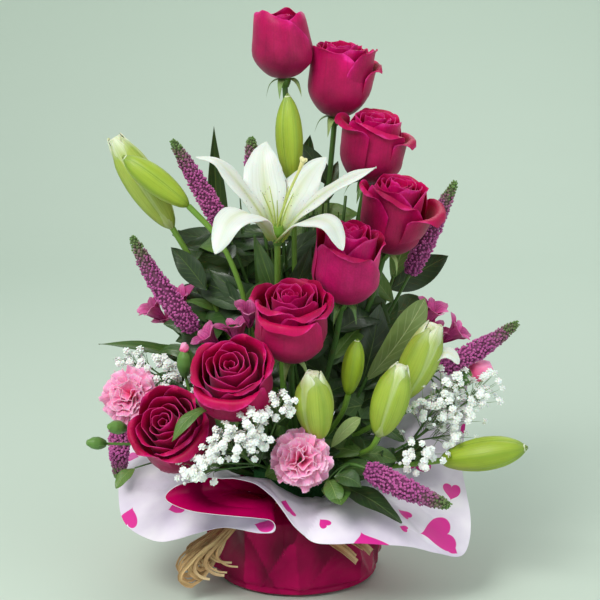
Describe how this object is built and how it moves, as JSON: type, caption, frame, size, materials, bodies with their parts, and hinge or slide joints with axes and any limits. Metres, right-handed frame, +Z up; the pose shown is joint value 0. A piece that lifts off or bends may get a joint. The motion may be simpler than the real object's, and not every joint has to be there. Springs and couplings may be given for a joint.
{
  "type": "rose arrangement",
  "caption": "Roses, an open lily, buds, spikes, carnations and filler flowers in wet foam in a bowl wrapped in heart-printed film and tied with raffia.",
  "frame": {"origin": "centre of the flat underside of the wrapped bowl, on the surface that it stands on", "axes": "+Z up along the height, -Y towards the front that the flowers face, +X to the right seen from the front"},
  "size_m": [0.3631, 0.256, 0.483],
  "materials": {
    "rose_petal": "velvety petal, deep magenta with hot pink rims",
    "stem": "smooth green cut stem",
    "leaf": "waxy dark green leaf",
    "lily_petal": "white petal with a pale green midrib",
    "pistil": "pale yellow green",
    "lily_bud": "satin lime green bud",
    "veronica": "dense purple florets with a green tip",
    "carnation": "frilled soft pink petal",
    "carnation_stem": "grey green calyx and stem",
    "gypsophila": "tiny white flowers on thin green twigs",
    "alstroemeria": "dark magenta petal",
    "bowl_plastic": "dark green moulded plastic",
    "foam": "wet open-cell floral foam",
    "wrap_film": "crimson film, white with magenta hearts on the other side",
    "raffia": "dry natural raffia"
  },
  "bodies": {
    "root": {"rose_bloom_1": "rose_petal", "rose_stem_1": "stem", "rose_bloom_2": "rose_petal", "rose_stem_2": "stem", "rose_bloom_3": "rose_petal", "rose_stem_3": "stem", "rose_bloom_4": "rose_petal", "rose_stem_4": "stem", "rose_bloom_5": "rose_petal", "rose_stem_5": "stem", "rose_bloom_6": "rose_petal", "rose_stem_6": "stem", "rose_bloom_7": "rose_petal", "rose_stem_7": "stem", "rose_bloom_8": "rose_petal", "rose_stem_8": "stem", "lily_flower": "lily_petal", "lily_pistil": "pistil", "lily_stem": "stem", "lily_bud_1": "lily_bud", "lily_bud_2": "lily_bud", "lily_bud_3": "lily_bud", "lily_bud_4": "lily_bud", "lily_bud_5": "lily_bud", "lily_bud_6": "lily_bud", "lily_bud_7": "lily_bud", "lily_bud_8": "lily_bud", "veronica_1": "veronica", "veronica_2": "veronica", "veronica_3": "veronica", "veronica_4": "veronica", "veronica_5": "veronica", "veronica_6": "veronica", "veronica_7": "veronica", "carnation_bloom_1": "carnation", "carnation_stem_1": "carnation_stem", "carnation_bud_1": "carnation_stem", "carnation_bloom_2": "carnation", "carnation_stem_2": "carnation_stem", "carnation_bud_2": "carnation_stem", "gypsophila_1": "gypsophila", "gypsophila_2": "gypsophila", "gypsophila_3": "gypsophila", "alstroemeria_1": "alstroemeria", "alstroemeria_2": "alstroemeria", "alstroemeria_3": "alstroemeria", "foliage_right": "leaf", "foliage_left": "leaf", "foliage_back": "leaf", "foliage_back_left": "leaf", "foliage_back_right": "leaf", "foliage_middle": "leaf", "foliage_low": "leaf", "foliage_front": "leaf", "bowl": "bowl_plastic", "floral_foam": "foam", "wrap_sheet": "wrap_film", "raffia_tie": "raffia", "raffia_loops": "raffia", "raffia_ends": "raffia"}
  },
  "joints": []
}
